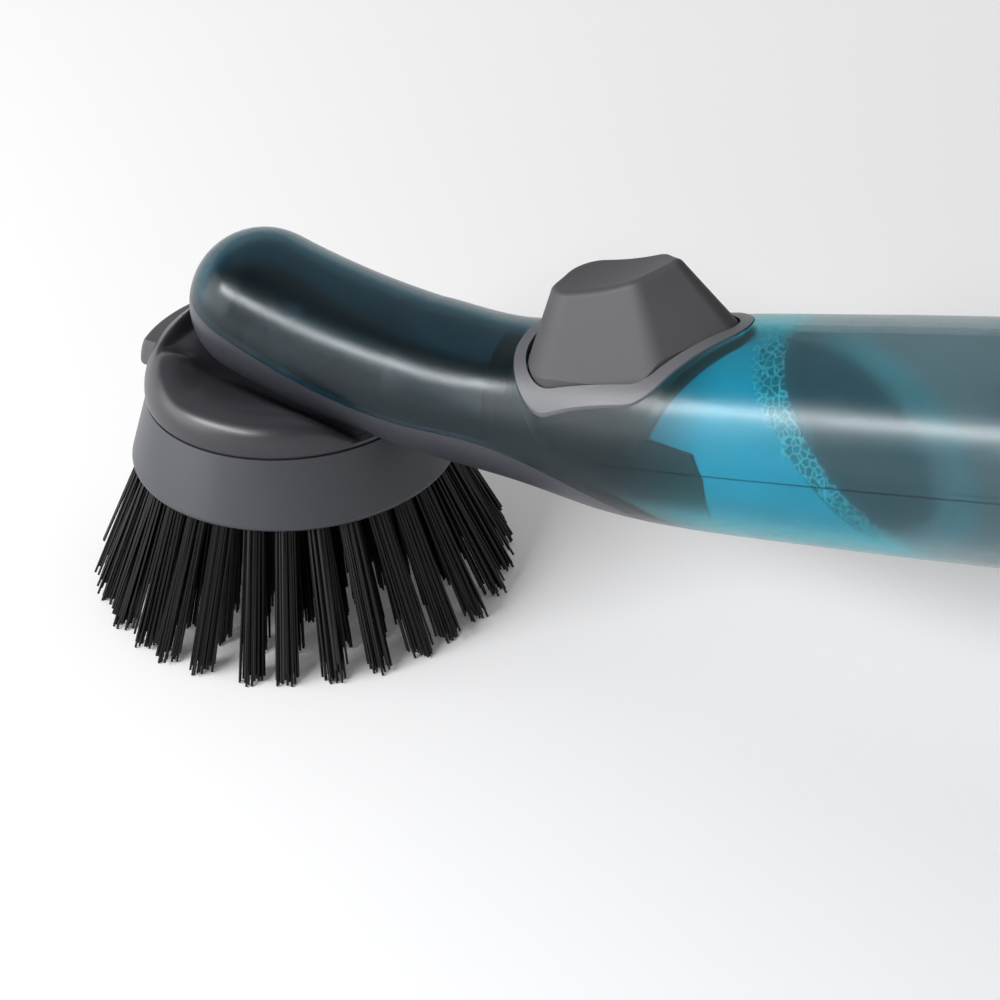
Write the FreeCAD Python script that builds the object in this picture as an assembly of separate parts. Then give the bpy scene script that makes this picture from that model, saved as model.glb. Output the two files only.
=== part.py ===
import FreeCAD, Part
import math
import os

Vector = FreeCAD.Vector

# A soap-dispensing dish wand: a round brush head under a swan-necked arm whose handle holds the soap.
# The head's axis is vertical, the bristle tips stand on the floor and the handle rises toward +X.
# Lengths are in millimetres and angles in degrees.

# Whole model
overrun = 5.0
reach = 400.0

# Brush head
bristle_length = 26.0
skirt_radius = 29.6
skirt_top_radius = 25.6
skirt_height = 12.2
skirt_wall = 1.8
skirt_edge_round = 0.8
groove_width = 0.6
dome_radius = 25.7
dome_height = 16.0
dome_rim_round = 11.0
dome_lip = 0.5
dome_wall = 2.4
plug_clearance = 0.1
plug_wall = 2.0

# Tuft plate and its soap cup
plate_recess = 0.6
plate_thickness = 5.0
plate_clearance = 0.1
cup_radius = 7.0
cup_height = 4.4
cup_floor = 3.0

# Bristle tufts
tuft_root_radius = 1.55
tuft_tip_radius = 2.1
tuft_hole_clearance = 0.06
tuft_hole_depth = 4.0
outer_ring_count = 30
outer_ring_radius = 25.0
outer_ring_tip_radius = 37.6
middle_ring_count = 24
middle_ring_radius = 19.6
middle_ring_tip_radius = 27.6
inner_ring_count = 18
inner_ring_radius = 14.2
inner_ring_tip_radius = 18.4
core_ring_count = 12
core_ring_radius = 9.4
core_ring_tip_radius = 10.6

# Soap nozzle
nozzle_flange_thickness = 0.9
nozzle_body_radius = 3.1
nozzle_bore_radius = 1.5
nozzle_drop = 2.0
nozzle_bill_length = 3.4
nozzle_bill_tip_radius = 0.9
nozzle_clearance = 0.1

# Arm: centre line, sections and walls
nose_x = -4.0
nose_height = 27.5
nose_drop_angle = 15.3
neck_bend_radius = 155.0
neck_turn_angle = 21.5
shoulder_bend_radius = 330.0
shoulder_turn_angle = 5.7
neck_radius = 13.15
neck_length = 32.0
swell_length = 72.0
handle_radius = 17.7
handle_length = 96.0
grip_radius = 18.4
tail_radius = 17.6
arm_wall = 2.2
flat_depth = 9.5
flat_length = 40.0
flat_runout = 22.0
parting_gap = 0.12
swell_radius_shares = (0.0, 0.0, 0.14, 0.55, 0.8, 0.92, 1.0)
parting_place_shares = (-0.52, 0.0, 0.43, 0.89, 1.25, 1.58, 1.87, 2.18, 2.44, 2.67)
parting_drop_shares = (-0.02, 0.02, 0.14, 0.21, 0.17, 0.15, 0.24, 0.42, 0.7, 1.2)

# Saddle in the dome that the arm's underside sits in
dish_radius = 60.0
dish_rim_radius = 24.0
dish_rim_height = 6.6
saddle_front = 18.0
saddle_front_radius = 36.0
saddle_gap = 1.2
saddle_length = 48.0
seat_gap = 0.4
seat_half_width = 11.0
seat_front = 19.0
seat_rear = 14.0
saddle_wall = 2.2
rim_round = 2.0

# Spigot that carries the head, and its seal
spigot_radius = 5.0
spigot_bore = 1.6
spigot_fit = 0.06
spigot_end_gap = 0.3
spigot_flange_radius = 7.4
spigot_flange_thickness = 1.6
spigot_hole_clearance = 0.1
elbow_radius = 3.2
elbow_height = 23.5
elbow_cap = 1.6
seal_wire = 0.9
seal_groove_clearance = 0.1
spigot_seal_height = 2.6
hose_barb_radius = 1.45
hose_barb_bore = 0.9
hose_barb_length = 8.0
hose_bore = 1.5
hose_radius = 2.5
latch_groove_depth = 0.8

# Release tab, its latch slide and spring
tab_half_width = 9.2
tab_stand = 2.2
tab_thickness = 3.6
tab_bottom = 1.4
tab_top = 6.6
tab_round = 1.0
tab_window_clearance = 0.35
tab_travel = 2.0
slide_half_width = 7.6
slide_thickness = 1.3
slide_clearance = 0.4
slide_front = 18.4
slide_hole_clearance = 0.2
web_thickness = 2.0
web_half_width = 4.0
web_height = 5.0
column_radius = 8.0
tab_spring_radius = 1.45
tab_spring_wire = 0.25
tab_spring_turns = 5
tab_spring_lift = 2.5
spring_end_gap = 0.15

# Thumb button, bezel and gasket, on the pump's own axis
pump_place = 71.0
button_front = 12.5
button_half_width = 11.5
button_side_end = 10.6
button_apex = 23.0
button_front_round = 7.0
button_side_round = 6.0
button_apex_round = 2.2
button_bottom = 7.6
button_shoulder = 10.0
button_peak = 31.0
crown_front = 13.8
crown_half_width = 12.0
crown_side_end = 14.0
crown_apex = 31.0
crown_front_round = 8.5
crown_side_round = 8.0
crown_apex_round = 3.2
peak_front = 4.8
peak_half_width = 4.0
peak_side_end = 6.6
peak_apex = 11.5
peak_front_round = 3.0
peak_side_round = 2.6
peak_apex_round = 1.0
scoop_radius = 50.0
scoop_round = 1.2
scoop_front = 7.9
scoop_front_height = 23.5
scoop_rear = 13.6
scoop_rear_height = 28.7
button_wall = 2.0
button_pocket_height = 12.0
button_boss_radius = 4.6
button_travel = 3.0
flange_width = 1.1
flange_thickness = 1.2
flange_half_width = 7.0
bezel_width = 2.4
bezel_stand = 0.2
bezel_recess = 1.2
bezel_slot = 0.12
button_slot = 0.35
opening_clearance = 0.5
gasket_thickness = 0.5
gasket_clearance = 0.06
well_clearance = 0.4
well_wall = 1.4
well_rim_gap = 0.15

# Pump
block_fit = 0.3
well_gap = 0.4
well_floor_thickness = 1.5
bulkhead_front = 20.0
bulkhead_thickness = 4.4
block_rear_top = 11.0
block_nose_top = 3.0
block_nose_front = 19.8
block_nose_tip = 21.2
block_nose_drop = 0.8
block_foot = 17.5
bore_radius = 6.5
bore_floor = 7.4
piston_top = 3.7
piston_length = 5.0
piston_fit = 0.06
piston_seal_wire = 0.7
stem_radius = 3.0
stem_fit = 0.05
return_spring_radius = 4.6
return_spring_wire = 0.35
return_spring_turns = 3
ball_radius = 1.2
ball_side_gap = 0.4
ball_lift = 0.8
keeper_radius = 0.4
keeper_half_length = 3.6
keeper_gap = 0.05
inlet_bore = 0.6
inlet_depth = 0.9
outlet_bore = 0.8
outlet_height = 2.0
outlet_low = 5.9
outlet_riser = 10.5
valve_radius = 2.6
valve_length = 3.2
valve_bore = 0.8
valve_clearance = 0.08
fitting_plug_length = 2.4
fitting_flange_radius = 3.6
fitting_flange_thickness = 1.4
bulkhead_seal_width = 1.4
bulkhead_seal_depth = 1.2
bulkhead_seal_gap = 0.08

# Feed hose between the pump and the spigot
hose_end_gap = 0.2
hose_top_run = 14.6
hose_low_run = 13.0
hose_bend_share = 0.45

# Soap in the handle
soap_gap = 0.35
soap_face_place = 110.0
soap_face_angle = 43.0

# Filler cap
cap_gap = 0.3
cap_collar = 5.0
cap_dome = 6.0
cap_face_radius = 11.0
cap_plug_length = 10.0
cap_plug_fit = 0.15
cap_wall = 3.0
cap_seal_place = 5.0
cap_seal_fit = 0.05

# Heights that the pieces share
skirt_edge_z = bristle_length
skirt_top_z = skirt_edge_z + skirt_height
dome_base_z = skirt_top_z + groove_width
plate_bottom_z = skirt_edge_z + plate_recess
plate_top_z = plate_bottom_z + plate_thickness
cup_floor_z = plate_bottom_z + cup_floor
cup_top_z = plate_top_z + cup_height
slide_bottom_z = cup_top_z + slide_clearance
slide_top_z = slide_bottom_z + slide_thickness
column_bottom_z = slide_top_z + slide_clearance
nozzle_top_z = cup_floor_z + nozzle_clearance + nozzle_flange_thickness
spigot_end_z = nozzle_top_z + spigot_end_gap
cup_bore = spigot_radius + spigot_fit

up = Vector(0, 0, 1)
across = Vector(0, 1, 0)


def arm_frame(place):
    """Point and slope of the arm's centre line at a distance from the nose centre."""
    point = Vector(nose_x, 0, skirt_edge_z + nose_height)
    slope = -math.radians(nose_drop_angle)
    rest = place
    for bend, turn in ((neck_bend_radius, neck_turn_angle), (shoulder_bend_radius, shoulder_turn_angle)):
        step = min(rest, bend * math.radians(turn))
        end = slope + step / bend
        forward = bend * (math.sin(end) - math.sin(slope))
        climb = bend * (math.cos(slope) - math.cos(end))
        point += Vector(forward, 0, climb)
        slope = end
        rest -= step
    point += Vector(math.cos(slope), 0, math.sin(slope)) * rest
    return point, slope


def along(slope):
    return Vector(math.cos(slope), 0, math.sin(slope))


def square_to(slope):
    return Vector(-math.sin(slope), 0, math.cos(slope))


swell_start = neck_length
swell_end = swell_start + swell_length
mouth_place = swell_end + handle_length

# Sections of the swelling between neck and handle as (place along the centre line, radius)
swell_sections = []
for index, share in enumerate(swell_radius_shares):
    swell_place = swell_start + swell_length * index / (len(swell_radius_shares) - 1)
    swell_sections.append((swell_place, neck_radius + share * (handle_radius - neck_radius)))


def arm_radius(place):
    """Radius of the neck and the swelling, in straight lines between sections."""
    if place <= swell_start:
        return neck_radius
    for (start, first), (end, last) in zip(swell_sections, swell_sections[1:]):
        if place <= end:
            return first + (last - first) * (place - start) / (end - start)
    return handle_radius


def arm_section(place, radius):
    point, slope = arm_frame(place)
    return Part.Wire(Part.Circle(point, -along(slope), radius).toShape())


def arm_tube(grow, past_mouth=0):
    """The arm as a closed solid whose surface lies grow outside the real one."""
    point, slope = arm_frame(0)
    nose = Part.makeSphere(neck_radius + grow, point, -along(slope), 0, 90, 360)
    disc = Part.Face(arm_section(0, neck_radius + grow))
    bend_centre = point + square_to(slope) * neck_bend_radius
    neck = disc.revolve(bend_centre, -across, math.degrees(neck_length / neck_bend_radius))
    swell = Part.makeLoft([arm_section(place, radius + grow) for place, radius in swell_sections], True)
    start, slope = arm_frame(swell_end)
    way = along(slope)
    out = square_to(slope)
    profile = []
    grip_place = handle_length / 2
    for step, radius in ((0, handle_radius), (grip_place, grip_radius), (handle_length, tail_radius)):
        profile.append(start + way * step + out * (radius + grow))
    edges = [Part.Arc(*profile).toShape()]
    corners = [profile[-1]]
    if past_mouth:
        corners.append(profile[-1] + way * past_mouth)
    corners += [start + way * (handle_length + past_mouth), start, profile[0]]
    handle = Part.Face(Part.Wire(edges + polyline(corners))).revolve(start, way, 360)
    return nose.fuse([neck, swell, handle])


def polyline(points):
    return [Part.LineSegment(a, b).toShape() for a, b in zip(points, points[1:])]


def side_slab(edges):
    """A closed outline in the side view, drawn across the whole width."""
    face = Part.Face(Part.Wire(Part.__sortEdges__(edges)))
    face.translate(across * -reach)
    return face.extrude(across * reach * 2)


def under_flat(lift):
    """Everything below the flat strip under the neck, raised by lift."""
    def strip(place):
        point, slope = arm_frame(place)
        return point + square_to(slope) * (lift - flat_depth)
    front = strip(-neck_radius * 2)
    middle = strip(0)
    rear = strip(flat_length)
    point, slope = arm_frame(flat_length + flat_runout)
    runout = point - square_to(slope) * (arm_radius(flat_length + flat_runout) + overrun - lift)
    corners = [rear, runout, Vector(runout.x, 0, -reach), Vector(front.x, 0, -reach), front]
    return side_slab([Part.Arc(front, middle, rear).toShape()] + polyline(corners))


def under_parting():
    """Everything below the line where the neck's underside plate meets the shell."""
    points = []
    for place_share, drop_share in zip(parting_place_shares, parting_drop_shares):
        place = place_share * neck_length
        point, slope = arm_frame(place)
        points.append(point - square_to(slope) * drop_share * arm_radius(place))
    curve = Part.BSplineCurve()
    curve.interpolate(points)
    first = points[0]
    last = points[-1]
    corners = [last, Vector(last.x, 0, -reach), Vector(first.x, 0, -reach), first]
    return side_slab([curve.toShape()] + polyline(corners))


def raised(shape, height):
    moved = shape.copy()
    moved.translate(up * height)
    return moved


# The pump's frame: x along the arm, z out through the button
pump_point, pump_slope = arm_frame(pump_place)
pump_placement = FreeCAD.Placement(pump_point, FreeCAD.Rotation(across, -math.degrees(pump_slope)))


def on_pump(shape):
    placed = shape.copy()
    placed.Placement = pump_placement.multiply(placed.Placement)
    return placed


def rounded_loop(corners, height):
    """A closed outline with a tangent arc at each (x, y, radius) corner."""
    starts = []
    ends = []
    arcs = []
    count = len(corners)
    for index, (x, y, radius) in enumerate(corners):
        corner = Vector(x, y, height)
        before = Vector(corners[index - 1][0], corners[index - 1][1], height)
        after = Vector(corners[(index + 1) % count][0], corners[(index + 1) % count][1], height)
        back = (before - corner).normalize()
        ahead = (after - corner).normalize()
        half = back.getAngle(ahead) / 2
        inward = (back + ahead).normalize()
        start = corner + back * (radius / math.tan(half))
        end = corner + ahead * (radius / math.tan(half))
        middle = corner + inward * (radius / math.sin(half) - radius)
        starts.append(start)
        ends.append(end)
        arcs.append(Part.Arc(start, middle, end).toShape())
    edges = []
    for index in range(count):
        edges.append(arcs[index])
        edges.append(Part.LineSegment(ends[index], starts[(index + 1) % count]).toShape())
    return Part.Wire(edges)


def shield(front, half_width, side_end, apex, rounds, height):
    """The button's plan: a rounded front, straight sides and a point at the rear."""
    front_round, side_round, apex_round = rounds
    corners = [
        (-front, -half_width, front_round),
        (side_end, -half_width, side_round),
        (apex, 0, apex_round),
        (side_end, half_width, side_round),
        (-front, half_width, front_round),
    ]
    return rounded_loop(corners, height)


button_rounds = (button_front_round, button_side_round, button_apex_round)


def button_prism(grow, bottom, top):
    """The button's plan, grown all round, as a prism between two heights."""
    wire = shield(button_front, button_half_width, button_side_end, button_apex, button_rounds, bottom)
    if grow:
        wire = wire.makeOffset2D(grow)
    return Part.Face(wire).extrude(up * (top - bottom))


def button_ring(inner, outer):
    """A ring between two growths of the button's plan, through the whole arm top."""
    return on_pump(button_prism(outer, 0, button_peak).cut(button_prism(inner, 0, button_peak)))


def cylinder(radius, start, end):
    line = end - start
    return Part.makeCylinder(radius, line.Length, start, line)


def revolved(points):
    """A closed outline of points turned about the vertical axis."""
    face = Part.Face(Part.makePolygon(points + [points[0]]))
    return face.revolve(Vector(), up, 360)


def half_box(half_width, front, rear, bottom, top):
    return Part.makeBox(rear - front, half_width * 2, top - bottom, Vector(front, -half_width, bottom))


def rounded_beside(solid, surface, radius, above):
    """The solid with a round on each edge beside its faces of one surface kind, above a height."""
    edges = []
    for edge in solid.Edges:
        kinds = [type(face.Surface) for face in solid.ancestorsOfType(edge, Part.Face)]
        if surface in kinds and edge.BoundBox.ZMax > above:
            edges.append(edge)
    return solid.makeFillet(radius, edges)


# Arm shell and neck plate
outer_arm = arm_tube(0).cut(under_flat(0))
inner_arm = arm_tube(-arm_wall, overrun).cut(under_flat(arm_wall))
hollow_arm = outer_arm.cut(inner_arm)
parting = under_parting()


def make_handle_shell():
    shell = hollow_arm.cut(raised(parting, parting_gap / 2))
    recess = on_pump(button_prism(bezel_width + bezel_slot, 0, button_peak)).cut(arm_tube(-bezel_recess))
    opening = on_pump(button_prism(opening_clearance, 0, button_peak))
    return shell.cut(recess).cut(opening)


def make_neck_plate():
    plate = hollow_arm.common(raised(parting, -parting_gap / 2))
    hole_radius = spigot_radius + spigot_hole_clearance
    return plate.cut(cylinder(hole_radius, Vector(0, 0, skirt_edge_z), Vector(0, 0, elbow_z)))


# Bezel, gasket and button
gasket_bottom = bezel_recess - gasket_clearance
gasket_top = gasket_bottom - gasket_thickness


def make_button_bezel():
    ring = button_ring(button_slot, bezel_width)
    return ring.common(arm_tube(bezel_stand)).cut(arm_tube(gasket_clearance - gasket_top))


def make_bezel_gasket():
    ring = button_ring(opening_clearance, bezel_width)
    return ring.common(arm_tube(-gasket_top)).cut(arm_tube(-gasket_bottom))


def scoop_ball():
    """The ball whose skin is the thumb scoop, through the scoop's front and rear edges."""
    front = Vector(-scoop_front, 0, scoop_front_height)
    rear = Vector(scoop_rear, 0, scoop_rear_height)
    chord = rear - front
    rise = math.sqrt(scoop_radius ** 2 - (chord.Length / 2) ** 2)
    normal = Vector(-chord.z, 0, chord.x).normalize()
    return Part.makeSphere(scoop_radius, (front + rear) / 2 + normal * rise, across)


def make_thumb_button():
    crown_rounds = (crown_front_round, crown_side_round, crown_apex_round)
    peak_rounds = (peak_front_round, peak_side_round, peak_apex_round)
    crown = shield(crown_front, crown_half_width, crown_side_end, crown_apex, crown_rounds, button_shoulder)
    peak = shield(peak_front, peak_half_width, peak_side_end, peak_apex, peak_rounds, button_peak)
    taper = Part.makeLoft([crown, peak], True, True)
    upper = button_prism(0, button_shoulder, button_peak).common(taper).cut(scoop_ball())
    upper = rounded_beside(upper, Part.Sphere, scoop_round, button_shoulder)
    lower = button_prism(0, button_bottom, button_shoulder)
    flange_top = button_bottom + flange_thickness
    flange = button_prism(flange_width, button_bottom, flange_top)
    ends = half_box(flange_half_width, -button_apex * 2, button_apex * 2, button_bottom, flange_top)
    flange = flange.common(ends)
    body = upper.fuse([lower, flange])
    pocket = button_prism(-button_wall, button_bottom - overrun, button_pocket_height)
    boss = cylinder(button_boss_radius, Vector(0, 0, button_bottom - overrun), Vector(0, 0, button_peak))
    bore = cylinder(stem_radius + stem_fit, Vector(0, 0, 0), Vector(0, 0, button_pocket_height))
    return on_pump(body.cut(pocket.cut(boss)).cut(bore))


def make_button_stem():
    stem_top = button_pocket_height - stem_fit
    return on_pump(cylinder(stem_radius, Vector(0, 0, piston_top), Vector(0, 0, stem_top)))


# Pump
well_floor = button_bottom - button_travel - well_gap
block_front = -bulkhead_front
well_grow = flange_width + well_clearance
bulkhead_rear = block_front + bulkhead_thickness
seal_front = block_front + (bulkhead_thickness - bulkhead_seal_width) / 2
seal_rear = seal_front + bulkhead_seal_width
block_arm = arm_tube(-arm_wall - block_fit).cut(under_flat(arm_wall + block_fit))
keeper_z = -bore_floor - keeper_radius
ball_rest = keeper_z - keeper_radius - keeper_gap - ball_lift - ball_radius
cage_floor = ball_rest - ball_radius
fitting_start = block_front - fitting_flange_thickness
valve_end = block_front + fitting_plug_length + valve_length


def pump_slab(corners):
    """A block between side-view corners in the pump's frame, across the whole width."""
    face = Part.Face(Part.makePolygon([Vector(x, -reach, z) for x, z in corners + [corners[0]]]))
    return on_pump(face.extrude(across * reach * 2))


def block_outline(front, wall_rear, grow):
    """The pump block's side view, with its rear and top grown, and a full wall from front to wall_rear."""
    return [
        (front, -grip_radius * 2),
        (front, grip_radius * 2),
        (wall_rear, grip_radius * 2),
        (wall_rear, well_floor + grow),
        (block_rear_top + grow * 2, well_floor + grow),
        (block_nose_front + grow, block_nose_top + grow),
        (block_nose_tip + grow, -block_nose_drop),
        (block_foot + grow, -grip_radius * 2),
    ]


def make_pump_block():
    block = block_arm.common(pump_slab(block_outline(block_front, bulkhead_rear, 0)))
    tub_floor = well_floor - well_floor_thickness
    tub = button_prism(well_grow + well_wall, tub_floor, button_peak)
    tub = on_pump(tub).common(arm_tube(-arm_wall - well_rim_gap))
    block = block.fuse(tub)
    well = button_prism(well_grow, well_floor, button_peak)
    bore = cylinder(bore_radius, Vector(0, 0, -bore_floor), Vector(0, 0, well_floor + overrun))
    cage = cylinder(ball_radius + ball_side_gap, Vector(0, 0, cage_floor), Vector(0, 0, 0))
    slot_half_width = keeper_radius + keeper_gap
    slot_half_length = keeper_half_length + keeper_gap
    keeper_slot = half_box(slot_half_length, -slot_half_width, slot_half_width, keeper_z - slot_half_width, 0)
    inlet_z = cage_floor - inlet_depth
    inlet_drop = cylinder(inlet_bore, Vector(0, 0, inlet_z), Vector(0, 0, cage_floor))
    inlet = cylinder(inlet_bore, Vector(0, 0, inlet_z), Vector(block_nose_tip + overrun, 0, inlet_z))
    low = Vector(-outlet_riser, 0, -outlet_low)
    high = Vector(-outlet_riser, 0, -outlet_height)
    outlet_start = cylinder(outlet_bore, Vector(-bore_radius / 2, 0, -outlet_low), low)
    outlet_rise = cylinder(outlet_bore, low, high)
    outlet_end = cylinder(outlet_bore, high, Vector(block_front - overrun, 0, -outlet_height))
    port_start = Vector(block_front - overrun, 0, -outlet_height)
    port_end = Vector(valve_end + valve_clearance, 0, -outlet_height)
    port = cylinder(valve_radius + valve_clearance, port_start, port_end)
    cuts = [well, bore, cage, keeper_slot]
    cuts += [inlet_drop, inlet, outlet_start, outlet_rise, outlet_end, port]
    block = block.cut([on_pump(tool) for tool in cuts])
    groove_start = seal_front - bulkhead_seal_gap
    groove_end = seal_rear + bulkhead_seal_gap
    groove = slab_across(groove_start, groove_end)
    groove_depth = arm_wall + bulkhead_seal_depth + bulkhead_seal_gap
    return block.cut(groove.cut(seal_core(groove_depth)))


def slab_across(front, rear):
    return on_pump(half_box(grip_radius * 2, front, rear, -grip_radius * 2, grip_radius * 2))


def seal_core(depth):
    """The inside of the arm's section, depth below its surface."""
    return arm_tube(-depth).cut(under_flat(depth))


def make_bulkhead_seal():
    ring = seal_core(arm_wall + bulkhead_seal_gap).cut(seal_core(arm_wall + bulkhead_seal_depth))
    return ring.common(slab_across(seal_front, seal_rear))


def ring_seal(wire_radius, outer_radius, centre, axis):
    return Part.makeTorus(outer_radius - wire_radius, wire_radius, centre, axis)


def make_pump_piston():
    piston_bottom = piston_top - piston_length
    piston = cylinder(bore_radius - piston_fit, Vector(0, 0, piston_bottom), Vector(0, 0, piston_top))
    half_groove = piston_seal_wire + seal_groove_clearance
    middle = piston_top - piston_length / 2
    groove_floor = bore_radius - piston_seal_wire * 2 - seal_groove_clearance
    low = Vector(0, 0, middle - half_groove)
    high = Vector(0, 0, middle + half_groove)
    groove = cylinder(bore_radius * 2, low, high).cut(cylinder(groove_floor, low, high))
    return on_pump(piston.cut(groove))


def make_piston_seal():
    middle = Vector(0, 0, piston_top - piston_length / 2)
    return on_pump(ring_seal(piston_seal_wire, bore_radius - piston_fit / 2, middle, up))


def biarc_edges(start, start_way, end, end_way):
    """Two tangent arcs from one point and direction to the next."""
    line = end - start
    both = start_way + end_way
    square = 2 * (1 - start_way.dot(end_way))
    linear = 2 * line.dot(both)
    length = (-linear + math.sqrt(linear ** 2 + 4 * square * line.dot(line))) / (2 * square)
    first = start + start_way * length
    second = end - end_way * length
    joint = (first + second) / 2
    edges = []
    for head, control, tail in ((start, first, joint), (joint, second, end)):
        middle = (head + tail) / 2
        half_chord = (tail - head).Length / 2
        lift = control - middle
        sag = half_chord * math.tan(math.atan2(lift.Length, half_chord) / 2)
        edges.append(Part.Arc(head, middle + lift.normalize() * sag, tail).toShape())
    return edges


def coil(radius, wire_radius, turns, length, name):
    """A coil of round wire along +z from the origin, as one tube on tangent arcs."""
    quarters = turns * 4
    rise = length - wire_radius * 2
    points = []
    ways = []
    for index in range(quarters + 1):
        angle = index * math.pi / 2
        height = wire_radius + rise * index / quarters
        points.append(Vector(radius * math.cos(angle), radius * math.sin(angle), height))
        climb = rise / (turns * 2 * math.pi)
        ways.append(Vector(-radius * math.sin(angle), radius * math.cos(angle), climb).normalize())
    edges = []
    for index in range(quarters):
        edges += biarc_edges(points[index], ways[index], points[index + 1], ways[index + 1])
    path = Part.Wire(edges)
    section = Part.Wire(Part.Circle(points[0], ways[0], wire_radius).toShape())
    gap = rise / turns * math.cos(math.atan2(rise / turns, 2 * math.pi * radius)) - wire_radius * 2
    print(name, "least gap between turns", round(gap, 3))
    return path.makePipeShell([section], True, False)


def make_return_spring():
    start = -bore_floor + spring_end_gap
    length = piston_top - piston_length - spring_end_gap - start
    spring = coil(return_spring_radius, return_spring_wire, return_spring_turns, length, "return_spring")
    return on_pump(raised(spring, start))


def make_inlet_ball():
    return on_pump(Part.makeSphere(ball_radius, Vector(0, 0, ball_rest)))


def make_ball_keeper():
    end = Vector(0, keeper_half_length, keeper_z)
    return on_pump(cylinder(keeper_radius, Vector(0, -end.y, keeper_z), end))


def make_outlet_valve():
    start = Vector(block_front + fitting_plug_length, 0, -outlet_height)
    end = Vector(valve_end, 0, -outlet_height)
    lips = Part.makeCone(valve_radius, valve_bore * 2, valve_length, end, start - end)
    return on_pump(lips.cut(cylinder(valve_bore, start - (end - start), end + (end - start))))


def make_outlet_fitting():
    plug_end = Vector(block_front + fitting_plug_length - valve_clearance, 0, -outlet_height)
    face = Vector(block_front, 0, -outlet_height)
    flange_end = Vector(fitting_start, 0, -outlet_height)
    barb_end = Vector(fitting_start - hose_barb_length, 0, -outlet_height)
    plug = cylinder(valve_radius, face, plug_end)
    flange = cylinder(fitting_flange_radius, flange_end, face)
    barb = cylinder(hose_barb_radius, barb_end, flange_end)
    return on_pump(plug.fuse([flange, barb]).cut(cylinder(hose_barb_bore, barb_end, plug_end)))


# Spigot and feed hose
elbow_z = skirt_edge_z + elbow_height


def spigot_seal_z():
    return spigot_end_z + spigot_seal_height


def make_spigot():
    axis_bottom = Vector(0, 0, spigot_end_z)
    neck_floor = under_flat(arm_wall + spigot_hole_clearance)
    flange_top = under_flat(arm_wall + spigot_hole_clearance + spigot_flange_thickness)
    disc = cylinder(spigot_flange_radius, axis_bottom, Vector(0, 0, elbow_z))
    flange = disc.common(flange_top).cut(neck_floor)
    post = cylinder(spigot_radius, axis_bottom, Vector(0, 0, elbow_z)).common(flange_top)
    elbow_top = Vector(0, 0, elbow_z + hose_barb_radius + elbow_cap)
    elbow = cylinder(elbow_radius, axis_bottom, elbow_top)
    barb_end = Vector(elbow_radius + hose_barb_length, 0, elbow_z)
    barb = cylinder(hose_barb_radius, Vector(0, 0, elbow_z), barb_end)
    body = post.fuse([flange, elbow, barb])
    bore = cylinder(spigot_bore, axis_bottom, Vector(0, 0, elbow_z))
    barb_bore = cylinder(hose_barb_bore, Vector(0, 0, elbow_z), barb_end)
    half_groove = seal_wire + seal_groove_clearance
    seal_z = spigot_seal_z()
    seal_floor = cup_bore - seal_wire * 2 - seal_groove_clearance
    grooves = []
    latch_bottom = slide_bottom_z - slide_clearance / 2
    latch_top = slide_top_z + slide_clearance / 2
    latch_floor = spigot_radius - latch_groove_depth
    for bottom, top, floor in (
        (seal_z - half_groove, seal_z + half_groove, seal_floor),
        (latch_bottom, latch_top, latch_floor),
    ):
        low = Vector(0, 0, bottom)
        high = Vector(0, 0, top)
        grooves.append(cylinder(spigot_radius * 2, low, high).cut(cylinder(floor, low, high)))
    return body.cut([bore, barb_bore] + grooves)


def make_spigot_seal():
    return ring_seal(seal_wire, cup_bore - spigot_fit / 2, Vector(0, 0, spigot_seal_z()), up)


def hose_path():
    """Straight runs and tangent arcs from the spigot's elbow to the pump's fitting."""
    start = Vector(elbow_radius + hose_end_gap, 0, elbow_z)
    first = start + Vector(hose_top_run, 0, 0)
    end = pump_placement.multVec(Vector(fitting_start - hose_end_gap, 0, -outlet_height))
    second = end - along(pump_slope) * hose_low_run
    points = [start, first, second, end]
    runs = [(b - a).Length for a, b in zip(points, points[1:])]
    edges = []
    last = start
    for index in (1, 2):
        corner = points[index]
        back = (points[index - 1] - corner).normalize()
        ahead = (points[index + 1] - corner).normalize()
        half = back.getAngle(ahead) / 2
        trim = hose_bend_share * min(runs[index - 1], runs[index])
        radius = trim * math.tan(half)
        print("feed_hose bend radius", round(radius, 2))
        middle = corner + (back + ahead).normalize() * (radius / math.sin(half) - radius)
        edges.append(Part.LineSegment(last, corner + back * trim).toShape())
        edges.append(Part.Arc(corner + back * trim, middle, corner + ahead * trim).toShape())
        last = corner + ahead * trim
    edges.append(Part.LineSegment(last, end).toShape())
    return Part.Wire(edges)


def make_feed_hose():
    path = hose_path()
    start = path.Edges[0].valueAt(path.Edges[0].FirstParameter)
    solids = []
    for radius in (hose_radius, hose_bore):
        section = Part.Wire(Part.Circle(start, Vector(1, 0, 0), radius).toShape())
        solids.append(path.makePipeShell([section], True, False))
    hose = solids[0].cut(solids[1])
    ideal = math.pi * (hose_radius ** 2 - hose_bore ** 2) * path.Length
    print("feed_hose volume over section times length", round(hose.Volume / ideal, 4))
    return hose


# Brush head
def arc_about(centre, start, end):
    """The short arc from start to end around centre."""
    middle = (start - centre) + (end - centre)
    return Part.Arc(start, centre + middle.normalize() * (start - centre).Length, end).toShape()


def domed(grow, base):
    """The dome's form on a level base, grow outside the real one: a round rim and a flatter top."""
    rim = dome_rim_round + grow
    side = dome_radius - dome_rim_round
    stand = dome_height - dome_rim_round
    depth = (side ** 2 - stand ** 2) / (stand * 2)
    rim_centre = Vector(side, 0, base)
    top_centre = Vector(0, 0, base - depth)
    start = rim_centre + Vector(rim, 0, 0)
    join = rim_centre + (rim_centre - top_centre).normalize() * rim
    top = top_centre + up * (dome_height + grow + depth)
    outline = [arc_about(rim_centre, start, join), arc_about(top_centre, join, top)]
    face = Part.Face(Part.Wire(outline + polyline([top, Vector(0, 0, base), start])))
    return face.revolve(Vector(), up, 360)


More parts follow.
